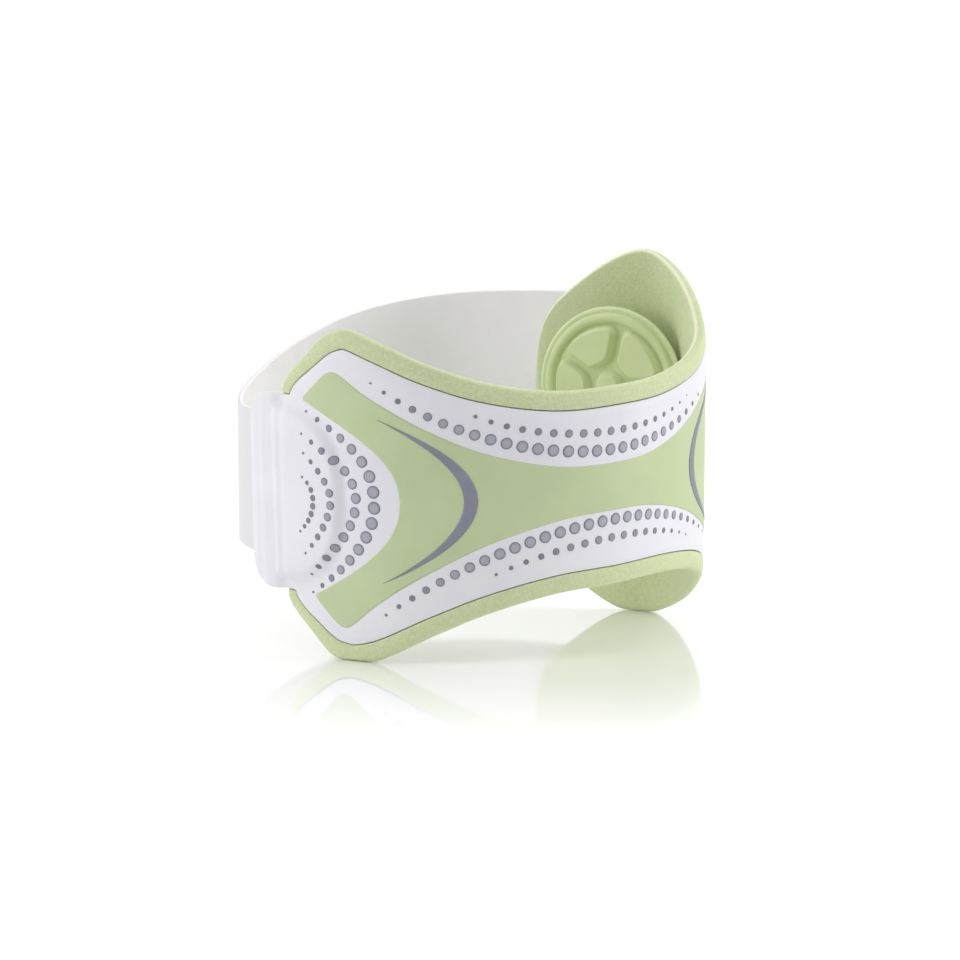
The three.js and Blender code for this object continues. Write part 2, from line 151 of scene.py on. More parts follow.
@dataclass
class ArmLoop:
    """Plan of the loop and the way from a flat place to the frame.

    Sizes are in millimetres and angles in degrees; slant, turn and lean are
    slopes. Each flat is the angle it faces and its distance from the axis, and
    it cuts where the cosine of the angle to it is at least faces. push moves
    the wall out and in along the lobe, and fades away from the mid-plane.
    """

    radii: tuple[float, ...] = (
        51.9, 56.5, 52.0, 48.8, 51.4, 53.6, 53.2, 49.2, 48.9, 47.6, 46.9, 47.6,
    )
    flats: tuple[tuple[float, float], ...] = ((69.0, 45.0), (17.0, 52.0))
    softness: float = 2.0
    faces: float = 0.5
    print_middle: float = -49.0
    steps: int = 4320
    slant: float = 0.037
    turn: float = 0.037
    turn_from: float = 10.0
    turn_to: float = -60.0
    push: Rows = (
        (48, 0), (55, 1.2), (61, 2.7), (65, 3), (69, 1.2), (73, -0.9), (78, -1.8), (83, -1.5), (95, 0),
    )
    push_fades: float = 42.0
    push_round: float = 6.0
    stand: float = 39.3
    lean: float = 0.066
    axis: tuple[float, float] = (-0.2958, -0.8735)
    foot_reach: float = 9.0
    foot_softness: float = 0.35

    def __post_init__(self) -> None:
        """Walks the plan once and keeps its points and outward normals."""
        angle = math.radians(self.print_middle) + np.linspace(0, 2 * np.pi, self.steps + 1)
        radius = self.radius(angle)
        self._x = radius * np.cos(angle)
        self._y = radius * np.sin(angle)
        run = np.hypot(np.diff(self._x), np.diff(self._y))
        self._along = np.concatenate([[0.0], np.cumsum(run)])
        self.length = float(self._along[-1])
        dx = np.roll(self._x[:-1], -1) - np.roll(self._x[:-1], 1)
        dy = np.roll(self._y[:-1], -1) - np.roll(self._y[:-1], 1)
        size = np.hypot(dx, dy)
        self._nx = np.append(dy / size, dy[0] / size[0])
        self._ny = np.append(-dx / size, -dx[0] / size[0])

    def radius(self, angle: Array) -> Array:
        """Gives the plan's distance from the arm's axis.

        Args:
            angle: Angles round the axis from +X.

        Returns:
            Radii in millimetres, cut by the flats with a soft corner.
        """
        count = len(self.radii)
        total = np.zeros_like(angle)
        for i, value in enumerate(self.radii):
            half = np.tan((angle - i * 2 * np.pi / count) / 2)
            at_row = np.abs(half) < 1e-9
            wave = np.sin(count * (angle - i * 2 * np.pi / count) / 2)
            total += np.where(at_row, value, value * wave / (count * np.where(at_row, 1, half)))
        for degrees, distance in self.flats:
            turn = np.cos(angle - math.radians(degrees))
            facing = turn >= self.faces
            past = (total - distance / np.where(facing, turn, 1)) / self.softness
            total = np.where(facing, total - self.softness * np.logaddexp(0, past), total)
        return total

    def bend(self, along: Any, depth: Any) -> tuple[Array, Array]:
        """Finds the plan point at a distance round the loop and a depth.

        Args:
            along: Distance round the loop.
            depth: Distance out from the plan.

        Returns:
            Level x and y in millimetres.
        """
        wanted = np.mod(along, self.length)
        x = np.interp(wanted, self._along, self._x)
        y = np.interp(wanted, self._along, self._y)
        nx = np.interp(wanted, self._along, self._nx)
        ny = np.interp(wanted, self._along, self._ny)
        return x + nx * depth, y + ny * depth

    def stood(self, level: Array) -> Array:
        """Leans level points in millimetres on to the feet, in metres."""
        tilt = math.atan(self.lean)
        x, y, z = np.moveaxis(np.asarray(level, float), -1, 0)
        turned = np.stack([
            x + self.axis[0],
            y * math.cos(tilt) - z * math.sin(tilt) + self.axis[1],
            y * math.sin(tilt) + (z + self.stand) * math.cos(tilt),
        ], axis=-1)
        return turned * MM

    def place(self, along: Any, height: Any, depth: Any, half: Any = None) -> Array:
        """Bends flat places round the loop.

        Args:
            along: Distance round the loop.
            height: Distance from the mid-plane.
            depth: Distance out from the foam's mid-surface.
            half: Half height of the wall there, where it may stand on the floor.

        Returns:
            Points in the frame, in metres.
        """
        return self.stood(self.level(along, height, depth, half))

    def level(self, along: Any, height: Any, depth: Any, half: Any = None) -> Array:
        """Bends flat places round the loop before it leans, as place does."""
        along, height, depth = np.broadcast_arrays(along, height, depth)
        turned = self.turn * smooth(self.turn_from, self.turn_to, along)
        away = np.hypot(height, self.push_round) - self.push_round / 2
        pushed = between(self.push, along) * (1 - away / self.push_fades)
        x, y = self.bend(along - turned * height, depth + pushed)
        z = height + self.slant * x
        if half is not None:
            under = -self.stand - self.lean * y - (self.slant * x - half)
            lift = self.foot_softness * np.logaddexp(0, under / self.foot_softness)
            z = z + lift * (1 - smooth(0, self.foot_reach, height + half))
        return np.stack([x, y, z], axis=-1)


def make_object(
    name: str, points: Array, faces: list[tuple[int, ...]], values: dict[str, Array] | None = None
) -> bpy.types.Object:
    """Makes a smooth-shaded mesh object.

    Args:
        name: Name of the piece.
        points: Vertices in metres.
        faces: Vertex numbers of each face.
        values: Named numbers or triples, one for each vertex.

    Returns:
        The new object, linked to the scene.
    """
    mesh = bpy.data.meshes.new(name)
    mesh.from_pydata(np.asarray(points).reshape(-1, 3).tolist(), [], faces)
    for key, value in (values or {}).items():
        flat = np.asarray(value, float)
        kind = "FLOAT_VECTOR" if flat.shape[-1] == 3 and flat.ndim > 1 else "FLOAT"
        store = mesh.attributes.new(key, kind, "POINT")
        store.data.foreach_set("vector" if kind == "FLOAT_VECTOR" else "value", flat.ravel())
    mesh.shade_smooth()
    mesh.update()
    piece = bpy.data.objects.new(name, mesh)
    bpy.context.scene.collection.objects.link(piece)
    return piece


def grid_faces(rows: int, columns: int, first: int = 0) -> list[tuple[int, ...]]:
    """Lists the quads of an open grid of rows by columns of vertices."""
    return [
        (first + r * columns + c, first + (r + 1) * columns + c,
         first + (r + 1) * columns + c + 1, first + r * columns + c + 1)
        for r in range(rows - 1) for c in range(columns - 1)
    ]


def tube_faces(rows: int, columns: int) -> list[tuple[int, ...]]:
    """Lists the quads of a capped tube of closed rings.

    Args:
        rows: Number of rings.
        columns: Places in a ring, from the lower tip up the inner side and back.

    Returns:
        Faces of the sides and of both ends.
    """
    faces: list[tuple[int, ...]] = []
    for r in range(rows - 1):
        back, here = r * columns, (r + 1) * columns
        for c in range(columns):
            d = (c + 1) % columns
            faces.append((back + c, back + d, here + d, here + c))
    last = (rows - 1) * columns
    for c in range(columns // 2 - 1):
        ring = (c, c + 1, columns - 2 - c, columns - 1 - c)
        faces.append(tuple(reversed(ring)))
        faces.append(tuple(last + i for i in ring))
    return faces


@dataclass
class WallRing:
    """Section of a wall with round edges, for many stations at once."""

    half: Array
    edge: Array
    inner: Array
    outer: Array
    heights: Array
    quarter: int = 6

    def side(self, depths: Array, sign: int) -> tuple[Array, Array]:
        """Runs one face from the lower tip to the upper tip.

        Args:
            depths: Depth of the face at each height.
            sign: -1 for the inner face, 1 for the outer one.

        Returns:
            Heights and depths of the face with its two round edges.
        """
        step = (np.arange(self.quarter) + 0.5) / self.quarter * np.pi / 2
        middle = (self.inner + self.outer) / 2
        rise = ((self.half - self.edge)[:, None] + self.edge[:, None] * np.sin(step))
        lower, upper = (
            middle[:, [i]] + sign * (self.outer - self.inner)[:, [i]] / 2 * np.cos(step)
            for i in (0, -1)
        )
        heights = np.hstack([-rise[:, ::-1], self.heights, rise])
        return heights, np.hstack([lower[:, ::-1], depths, upper])

    def loop(self) -> tuple[Array, Array]:
        """Joins the inner and outer faces into closed rings."""
        inner_heights, inner_depths = self.side(self.inner, -1)
        outer_heights, outer_depths = self.side(self.outer, 1)
        heights = np.hstack([inner_heights, outer_heights[:, ::-1]])
        return heights, np.hstack([inner_depths, outer_depths[:, ::-1]])


def add_node(
    tree: bpy.types.NodeTree, kind: str, settings: dict[str, Any], inputs: dict[Any, Any]
) -> bpy.types.Node:
    """Adds a node, sets it up and links it.

    Args:
        tree: Node tree to add to.
        kind: Type name of the node.
        settings: Properties of the node.
        inputs: Value or output socket for each input, by name or number.

    Returns:
        The new node.
    """
    node = tree.nodes.new(kind)
    for key, value in settings.items():
        setattr(node, key, value)
    for key, value in inputs.items():
        if isinstance(value, bpy.types.NodeSocket):
            tree.links.new(value, node.inputs[key])
        else:
            node.inputs[key].default_value = value
    return node


class Pattern(Enum):
    """Fine relief of a cloth or moulded surface."""

    WEAVE = "weave"
    KNIT = "knit"
    PILE = "pile"
    GRAIN = "grain"
    HOOKS = "hooks"


@dataclass(frozen=True)
class SoftFinish:
    """Matte cloth, foam, rubber or ink: mottled colour over a fine relief.

    pitch and mottle are in millimetres. The edge colour shows where the mesh's
    "edge" value rises: on the printed dots it is the ink's darker rim, on the foam's upper rim edges and the
    pad's bevels and flange edge it is painted highlight, on the foam's inner face painted light, and on the
    strap's outer side painted shade.
    "edge" value rises, as on a cut edge or the rim of a printed dot.
    """

    name: str
    colour: str
    shade: str
    pattern: Pattern
    pitch: float
    relief: float
    mottle: float = 9.0
    ink_rim_and_painted_shading_colour: str | None = None
    roughness: float = 0.7
    sheen: float = 0.0
    sheen_roughness: float = 0.5
    metallic: float = 0.0
    subsurface: float = 0.0
    ior: float = 1.5
    rough_spread: float = 0.06
    mottle_range: tuple[float, float] = (0.3, 0.7)
    comb: float = 0.35
    scatter: tuple[float, float, float] = (1.0, 0.9, 0.5)
    scatter_depth: float = 1.2

    def build(self) -> bpy.types.Material:
        """Makes the material.

        Returns:
            A material with node-made colour, roughness and bump.
        """
        material = bpy.data.materials.new(self.name)
        material.use_nodes = True
        tree = material.node_tree
        tree.nodes.clear()
        where = add_node(tree, "ShaderNodeTexCoord", {}, {}).outputs["Object"]
        flat = add_node(tree, "ShaderNodeAttribute", {"attribute_name": "flat"}, {}).outputs["Vector"]
        colour = self.colours(tree, where)
        height = self.relief_of(tree, where, flat)
        bump = add_node(tree, "ShaderNodeBump", {}, {
            "Strength": 1.0, "Distance": self.relief * MM, "Height": height,
        })
        rough = add_node(tree, "ShaderNodeMapRange", {}, {
            "Value": height,
            "To Min": self.roughness + self.rough_spread,
            "To Max": self.roughness - self.rough_spread,
        })
        shader = add_node(tree, "ShaderNodeBsdfPrincipled", {}, {
            "Base Color": colour,
            "Roughness": rough.outputs["Result"],
            "Metallic": self.metallic,
            "IOR": self.ior,
            "Sheen Weight": self.sheen,
            "Sheen Roughness": self.sheen_roughness,
            "Subsurface Weight": self.subsurface,
            "Subsurface Radius": self.scatter,
            "Subsurface Scale": self.scatter_depth * MM,
            "Normal": bump.outputs["Normal"],
        })
        add_node(tree, "ShaderNodeOutputMaterial", {}, {"Surface": shader.outputs["BSDF"]})
        return material

    def colours(self, tree: bpy.types.NodeTree, where: bpy.types.NodeSocket) -> bpy.types.NodeSocket:
        """Mottles the two colours and lays the edge colour over them.

        Args:
            tree: Material's node tree.
            where: Place on the object, in metres.

        Returns:
            Socket of the colour.
        """
        cloud = add_node(tree, "ShaderNodeTexNoise", {}, {
            "Vector": where, "Scale": 1 / (self.mottle * MM), "Detail": 3.0, "Roughness": 0.55,
        })
        spread = add_node(tree, "ShaderNodeMapRange", {}, {
            "Value": cloud.outputs["Fac"],
            "From Min": self.mottle_range[0],
            "From Max": self.mottle_range[1],
        })
        mixed = add_node(tree, "ShaderNodeMix", {"data_type": "RGBA"}, {
            "Factor": spread.outputs["Result"], 6: linear(self.colour), 7: linear(self.shade),
        }).outputs[2]
        if self.ink_rim_and_painted_shading_colour is None:
            return mixed
        edge = add_node(tree, "ShaderNodeAttribute", {"attribute_name": "edge"}, {}).outputs["Fac"]
        return add_node(tree, "ShaderNodeMix", {"data_type": "RGBA"}, {
            "Factor": edge, 6: mixed, 7: linear(self.ink_rim_and_painted_shading_colour),
        }).outputs[2]

    def relief_of(
        self, tree: bpy.types.NodeTree, where: bpy.types.NodeSocket, flat: bpy.types.NodeSocket
    ) -> bpy.types.NodeSocket:
        """Draws the fine relief.

        Args:
            tree: Material's node tree.
            where: Place on the object, in metres.
            flat: Place on the flat cloth, in millimetres.

        Returns:
            Socket of the height, from 0 to 1.
        """
        per_metre = 1 / (self.pitch * MM)
        if self.pattern is Pattern.GRAIN:
            return add_node(tree, "ShaderNodeTexNoise", {}, {
                "Vector": where, "Scale": per_metre, "Detail": 2.0,
            }).outputs["Fac"]
        if self.pattern is Pattern.HOOKS:
            return add_node(tree, "ShaderNodeTexVoronoi", {}, {
                "Vector": where, "Scale": per_metre, "Randomness": 0.25,
            }).outputs["Distance"]
        if self.pattern is Pattern.PILE:
            combed = add_node(tree, "ShaderNodeMapping", {}, {
                "Vector": flat, "Scale": (self.comb / self.pitch, 1 / self.pitch, 1.0),
            })
            return add_node(tree, "ShaderNodeTexNoise", {}, {
                "Vector": combed.outputs["Vector"], "Scale": 1.0, "Detail": 4.0, "Distortion": 1.2,
            }).outputs["Fac"]
        square, slanted = ((1.0, 0.0), (0.0, 1.0)), ((1.0, 1.0), (-1.0, 1.0))
        threads = slanted if self.pattern is Pattern.KNIT else square
        waves = []
        for along, up in threads:
            turned = add_node(tree, "ShaderNodeVectorMath", {"operation": "DOT_PRODUCT"}, {
                0: flat, 1: (along / self.pitch, up / self.pitch, 0.0),
            })
            waves.append(add_node(tree, "ShaderNodeMath", {"operation": "SINE"}, {
                0: add_node(tree, "ShaderNodeMath", {"operation": "MULTIPLY"}, {
                    0: turned.outputs["Value"], 1: 2 * math.pi,
                }).outputs[0],
            }).outputs[0])
        product = add_node(tree, "ShaderNodeMath", {"operation": "MULTIPLY"}, {0: waves[0], 1: waves[1]})
        return add_node(tree, "ShaderNodeMath", {"operation": "MULTIPLY_ADD"}, {
            0: product.outputs[0], 1: 0.5, 2: 0.5,
        }).outputs[0]


# Foam moulded under a fine jersey knit: dry and matte. Its pale cream edge colour is painted highlight on
# the rim's upper inner edges and painted light on the inner face.
# The knit is drawn at 0.7 mm, twice its real pitch, so that it shows.
MOULDED_FOAM = SoftFinish(
    "jersey_faced_moulded_foam", "#d1dbaf", "#c2cc9f", Pattern.KNIT, 0.7, 0.05,
    mottle=0.6, ink_rim_and_painted_shading_colour="#f6f7d8", roughness=0.85, sheen=0.12, subsurface=0.1,
)
# Polyester satin laminated to thin foam: smooth, faintly lilac white, soft gloss.
# The weave is drawn at 0.6 mm, about twice its real pitch, so that it shows.
LAMINATED_SATIN = SoftFinish(
    "laminated_polyester_satin", "#e4e3e9", "#dfdee5", Pattern.WEAVE, 0.6, 0.012,
    mottle=14.0, roughness=0.5, sheen=0.1,
)
# Nylon brushed into a loop pile: fuzzy, chalky white, combed along the strap. Its greyer edge colour on the
# outer side is painted shade.
BRUSHED_LOOP = SoftFinish(
    "brushed_nylon_loop", "#faf7fd", "#f6f3fa", Pattern.PILE, 0.45, 0.06,
    mottle=5.0, ink_rim_and_painted_shading_colour="#d9d8dc", roughness=0.92, sheen=0.2,
)
# Nylon tape with moulded hooks: rows of tiny stubs that catch the light.
HOOK_TAPE = SoftFinish(
    "moulded_nylon_hook_tape", "#dddce0", "#d0cfd4", Pattern.HOOKS, 0.8, 0.3,
    mottle=4.0, roughness=0.55,
)
# Soft thermoplastic rubber from a fine-etched mould: satin, slightly deep green. Its pale edge colour is
# painted highlight on the segments' bevels and the flange's edge.
MOULDED_RUBBER = SoftFinish(
    "moulded_soft_rubber", "#d0dcaa", "#c8d5a2", Pattern.GRAIN, 0.35, 0.012,
    mottle=11.0, ink_rim_and_painted_shading_colour="#e2ebc4", roughness=0.5, subsurface=0.15,
)
# Screen ink on satin: a flat matte film that lets the weave through.
GREEN_INK = SoftFinish(
    "screen_printed_green_ink", "#bfcca0", "#b9c69a", Pattern.WEAVE, 0.6, 0.012,
    mottle=12.0, roughness=0.6,
)
# Screen ink with fine metal flake: slate grey, brighter towards the lights.
SLATE_INK = SoftFinish(
    "screen_printed_slate_ink", "#838594", "#7b7d8c", Pattern.GRAIN, 0.3, 0.008,
    mottle=6.0, roughness=0.45, metallic=0.25,
)
# Puffed ink dots: grey with a darker rim where the ink drew back.
DOT_INK = SoftFinish(
    "puffed_grey_ink", "#a9a9b4", "#a1a1ac", Pattern.GRAIN, 0.3, 0.01,
    mottle=3.0, ink_rim_and_painted_shading_colour="#767882", roughness=0.5,
)
# Spun polyester sewing thread: matte white with twisted plies.
SEWING_THREAD = SoftFinish(
    "spun_polyester_thread", "#e4e3e6", "#d3d2d6", Pattern.GRAIN, 0.25, 0.05,
    mottle=1.5, roughness=0.8, sheen=0.2,
)


def hand_over(piece: bpy.types.Object, finish: SoftFinish) -> bpy.types.Object:
    """Gives a piece its material and its body, and reports it.

    Args:
        piece: Piece to finish.
        finish: Finish of the piece.

    Returns:
        The same piece.
    """
    piece.data.materials.append(finish.build())
    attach(piece, BODY)
    LOG.info("%s: %d faces, %s", piece.name, len(piece.data.polygons), finish.name)
    return piece


@dataclass
class FoamBand:
    """Dog-bone foam band with a puffed rim round the bed of the cover.

    outline and tongue hold place along and half height. The fields that place the
    pale edge say where painted highlight shows on the rim's upper inner edges, and
    the fields that pale the inner face how much painted light lies there, most at the lobe's end.
    """

    loop: ArmLoop
    left_end: float = -81.0
    lobe_end: float = 103.9
    outline: Rows = (
        (-81, 22), (-78.3, 25.8), (-73.2, 29.8), (-67.3, 34.7), (-64, 36.2), (-60, 36.8), (-52, 33.9),
        (-42, 29.4), (-30, 25.1), (-15, 22.2), (0, 21.9), (15, 22.2), (30, 24.2), (40, 27.2), (47, 30.6),
        (52, 33.5), (58, 36.6), (64, 39.2), (70, 41.6), (74.5, 43.3), (78, 43.7), (82.5, 42.5),
        (87.5, 39.9), (92, 36.8), (96.5, 33.2), (99.9, 29.6), (102.2, 24.6), (103.4, 18), (103.9, 8),
    )
    tongue: Rows = ((-91.5, 15), (-90.5, 18.4), (-88.5, 20.6), (-85, 21.8), (-81, 21.6))
    tongue_root: float = -75.0
    inner: float = -1.2
    crest: float = 1.4
    recess: float = 0.4
    edge: float = 1.1
    puff: float = 0.2
    rim_width: float = 4.3
    rim_end_width: float = 3.3
    rim_end_from: float = -64.0
    rim_end_to: float = -74.0
    rim_flat: float = 0.4
    rim_full: float = 3.0
    groove: float = 0.03
    lip: float = 0.25
    bed_smallest: float = 1.5
    end_round: float = 1.3
    end_thinnest: float = 0.05
    rim_smallest: float = 0.6
    lip_clear: float = 0.1
    highlight_height: tuple[float, float] = (0.8, 0.1)
    highlight_depth: tuple[float, float] = (-0.1, -0.7)
    highlight_fades: tuple[float, float] = (0.0, -10.0)
    inner_painted_light: float = 0.1
    inner_painted_light_depth: float = 0.6
    lobe_painted_light: float = 0.22
    lobe_painted_light_reach: tuple[float, float] = (76.0, 102.0)
    inner_painted_light_ends: tuple[float, float] = (62.0, 48.0)
    count: int = 300
    crowding: float = 0.65
    probes: int = 49
    rim_rows: int = 9
    lip_rows: int = 7
    bed_rows: int = 13

    def half(self, along: Any) -> Array:
        """Half height of the band, 0 past the lobe's end."""
        return np.where(np.asarray(along) > self.lobe_end, 0, between(self.outline, along))

    def cover_half(self, along: Array) -> Array:
        """Half height of the bed's outline, a rim's width inside the band.

        Args:
            along: Places on the band.

        Returns:
            Half heights in millimetres.
        """
        narrow = smooth(self.rim_end_from, self.rim_end_to, along)
        inset = self.rim_width + (self.rim_end_width - self.rim_width) * narrow
        tongue = np.where(along < self.tongue_root, between(self.tongue, along), 0)
        around = np.linspace(-np.pi / 2, np.pi / 2, self.probes)
        near = along[:, None] + inset[:, None] * np.sin(around)
        reach = self.half(near) - inset[:, None] * np.cos(around)
        reach = np.where(near < self.left_end, np.inf, reach)
        inside = np.maximum(reach.min(axis=1), self.bed_smallest - self.groove)
        return np.where(along <= self.left_end, tongue, np.maximum(inside, tongue))

    def build(self) -> bpy.types.Object:
        """Lofts the band.

        Returns:
            The band as one closed mesh.
        """
        along = stations(self.left_end, self.lobe_end, self.count, self.crowding)
        half = self.half(along)
        wanted = self.cover_half(along) + self.groove
        top = half - self.edge
        bed = np.clip(wanted, self.bed_smallest, top - self.rim_smallest)
        lip = np.minimum(bed + self.lip, top - self.lip_clear)
        full = smooth(self.rim_flat, self.rim_full, half - wanted)
        crest = self.recess + (self.crest - self.recess) * full
        floor = np.where(wanted > self.bed_smallest, self.recess, crest)
        rim = np.linspace(0, 1, self.rim_rows)
        wall = np.linspace(0, 1, self.lip_rows)[1:]
        rim_height = top[:, None] + (lip - top)[:, None] * rim
        rim_depth = crest[:, None] + self.puff * full[:, None] * 4 * rim * (1 - rim)
        wall_height = lip[:, None] + (bed - lip)[:, None] * wall
        wall_depth = crest[:, None] + (floor - crest)[:, None] * smooth(0, 1, wall)
        upper_height = np.hstack([wall_height[:, ::-1], rim_height[:, ::-1]])
        upper_depth = np.hstack([wall_depth[:, ::-1], rim_depth[:, ::-1]])
        bed_height = bed[:, None] * np.linspace(-1, 1, self.bed_rows)[1:-1]
        bed_depth = np.repeat(floor[:, None], self.bed_rows - 2, axis=1)
        heights = np.hstack([-upper_height[:, ::-1], bed_height, upper_height])
        outer = np.hstack([upper_depth[:, ::-1], bed_depth, upper_depth])
        ring = WallRing(half, np.full_like(half, self.edge), np.full_like(outer, self.inner), outer, heights)
        height, depth = ring.loop()
        pinch = rounded_end(self.lobe_end - along, self.end_round, self.end_thinnest)
        middle = (self.inner + crest)[:, None] / 2
        depth = middle + (depth - middle) * pinch
        points = self.loop.place(along[:, None], height, depth, half[:, None])
        # Painted highlight: the pale edge colour on the rim's upper inner edges, faded out on the lower
        # ones, as light from above would fall.
        cut = smooth(*self.highlight_height, half[:, None] - np.abs(height)) * smooth(*self.highlight_depth, depth)
        cut = cut * (1 - smooth(*self.highlight_fades, height))
        # Painted light: the pale edge colour on the inner face, strongest towards the lobe's end and gone
        # between along 62 and 76.
        painted_light_share = self.inner_painted_light * smooth(*self.inner_painted_light_ends, along[:, None])
        painted_light_share = painted_light_share + self.lobe_painted_light * smooth(*self.lobe_painted_light_reach, along[:, None])
        inner_painted_light = painted_light_share * smooth(self.inner + self.inner_painted_light_depth, self.inner, depth)
        flat = flat_places(along, height, depth)
        return make_object("moulded_foam_band", points, tube_faces(*height.shape), {
            "edge": np.maximum(cut, inner_painted_light), "flat": flat,
        })

    def dress(self, piece: bpy.types.Object) -> None:
        """Gives the band its padded foam finish in place of its solid."""
        hand_over(piece, MOULDED_FOAM)
        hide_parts("foam_band")


@dataclass
class CoverPanel:
    """Printed cover with the raised end and the soft tongue.

    raised and moat shape the raised end, and swell, crease and ridge the tongue.
    The edge is rounder on the tongue than on the band.
    """

    band: FoamBand
    tongue_end: float = -91.5
    lobe_end: float = 98.6
    inner: float = 0.8
    thickness: float = 0.8
    thinnest: float = 0.5
    swell: float = 1.5
    swell_from: float = -79.0
    swell_to: float = -83.0
    crease_along: float = -81.2
    crease_width: float = 2.4
    crease_depth: float = 0.7
    raised_along: float = -80.0
    raised_start: tuple[float, float] = (-83.0, -80.5)
    raised_reach: float = 19.0
    raised_half: float = 20.0
    raised_power: float = 2.5
    raised_height: float = 1.5
    raised_crown: float = 0.86
    moat: float = 0.14
    moat_width: float = 0.08
    ridge: float = 0.07
    ridge_pitch: float = 3.1
    ridge_from: float = -82.5
    ridge_to: float = -85.0
    edge: float = 0.22
    tongue_edge: float = 0.8
    tongue_edge_over: tuple[float, float] = (-79.0, -84.0)
    edge_largest: float = 0.45
    edge_sink: float = 0.2
    edge_reach: float = 1.6
    end_round: float = 1.3
    end_thinnest: float = 0.06
    count: int = 320
    crowding: float = 0.6
    rows: int = 91
    row_crowding: float = 0.92

    def half(self, along: Array) -> Array:
        """Half height of the cover, from the tongue's outline or the band's bed."""
        return self.band.cover_half(along)

    def outer(self, along: Array, height: Array) -> Array:
        """Depth of the cover's outer face.

        Args:
            along: Places along the cover.
            height: Heights at those places, in a shape that broadcasts with along.

        Returns:
            Depths in millimetres.
        """
        along, height = np.broadcast_arrays(along, height)
        out = (
            (np.abs(along - self.raised_along) / self.raised_reach) ** self.raised_power
            + (np.abs(height) / self.raised_half) ** self.raised_power
        ) ** (1 / self.raised_power)
        raised = self.raised_height * smooth(1, self.raised_crown, out)
        raised = raised * smooth(*self.raised_start, along)
        moat = self.moat * np.exp(-(((out - 1) / self.moat_width) ** 2))
        swell = self.swell * smooth(self.swell_from, self.swell_to, along)
        crease = self.crease_depth * np.exp(-(((along - self.crease_along) / self.crease_width) ** 2))
        wave = np.cos(2 * np.pi * (along - self.ridge_from) / self.ridge_pitch)
        ridge = self.ridge * wave * smooth(self.ridge_from, self.ridge_to, along)
        thick = np.maximum(self.thickness + raised + swell - crease - moat + ridge, self.thinnest)
        return self.inner + thick

    def build(self) -> bpy.types.Object:
        """Lofts the cover.

        Returns:
            The cover as one closed mesh.
        """
        along = stations(self.tongue_end, self.lobe_end, self.count, self.crowding)
        half = self.half(along)
        edge = self.edge + self.tongue_edge * smooth(*self.tongue_edge_over, along)
        edge = np.minimum(edge, self.edge_largest * half)
        share = np.sin(np.linspace(-1, 1, self.rows) * np.pi / 2 * self.row_crowding)
        heights = (half - edge)[:, None] * share / share[-1]
        outer = self.outer(along[:, None], heights)
        near = half[:, None] - np.abs(heights)
        outer = outer - self.edge_sink * smooth(self.edge_reach, 0, near)
        ring = WallRing(half, edge, np.full_like(outer, self.inner), outer, heights)
        height, depth = ring.loop()
        ends = np.minimum(along - self.tongue_end, self.lobe_end - along)
        pinch = rounded_end(ends, self.end_round, self.end_thinnest)
        middle = (self.inner + outer.mean(axis=1))[:, None] / 2
        depth = middle + (depth - middle) * pinch
        points = self.band.loop.place(along[:, None], height, depth, self.band.half(along)[:, None])
        flat = flat_places(along, height, depth)
        self.area = float(np.trapz(2 * half, along)) * MM * MM
        return make_object("printed_cover_panel", points, tube_faces(*height.shape), {"flat": flat})

    def dress(self, piece: bpy.types.Object, printed: list[bpy.types.Object]) -> None:
        """Gives the cover, a sheet that carries the print, its satin finish in place of its solid."""
        hand_over(piece, LAMINATED_SATIN)
        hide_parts("cover_panel")


@dataclass(frozen=True)
class DotRow:
    """Row of dots along an edge of the waist, largest in the middle.

    side is 1 above the mid-plane and -1 below it. base, bow and curl give the
    row's height. widest is the number of the largest dot, and reach the number
    of dots over which the width falls to nothing.
    """

    side: int
    base: float
    bow: float
    curl: float
    middle: float
    first: float
    count: int
    width: float
    widest: float
    reach: float
    power: float
    pitch: float = 3.47
    spread_from: float = 10.0
    spread: float = 0.0085

    def height(self, along: float) -> float:
        """Distance of the row from the mid-plane."""
        x = along - self.middle
        return self.base + self.bow * x ** 2 + self.curl * x ** 4

    def step(self, along: float) -> float:
        """Place of the next dot, one pitch further along the row."""
        pitch = self.pitch * (1 + self.spread * max(along - self.spread_from, 0))
        ahead = self.height(along + pitch) - self.height(along)
        return along + pitch / math.hypot(1, ahead / pitch)


@dataclass(frozen=True)
class DotArc:
    """Arc of dots on the raised end.

    top and bottom hold end height, drop and power. sag moves the middle dots
    down along the arc.
    """

    apex: float
    middle: float
    top: tuple[float, float, float]
    bottom: tuple[float, float, float]
    count: int
    width: float
    sag: float = 0.0
    smallest: float = 0.6
    power: float = 2.2

    def along(self, height: Array) -> Array:
        """Place of the arc at a height."""
        upper, lower = (
            drop * np.clip((height - self.middle) / (end - self.middle), 0, None) ** power
            for end, drop, power in (self.top, self.bottom)
        )
        return self.apex - upper - lower


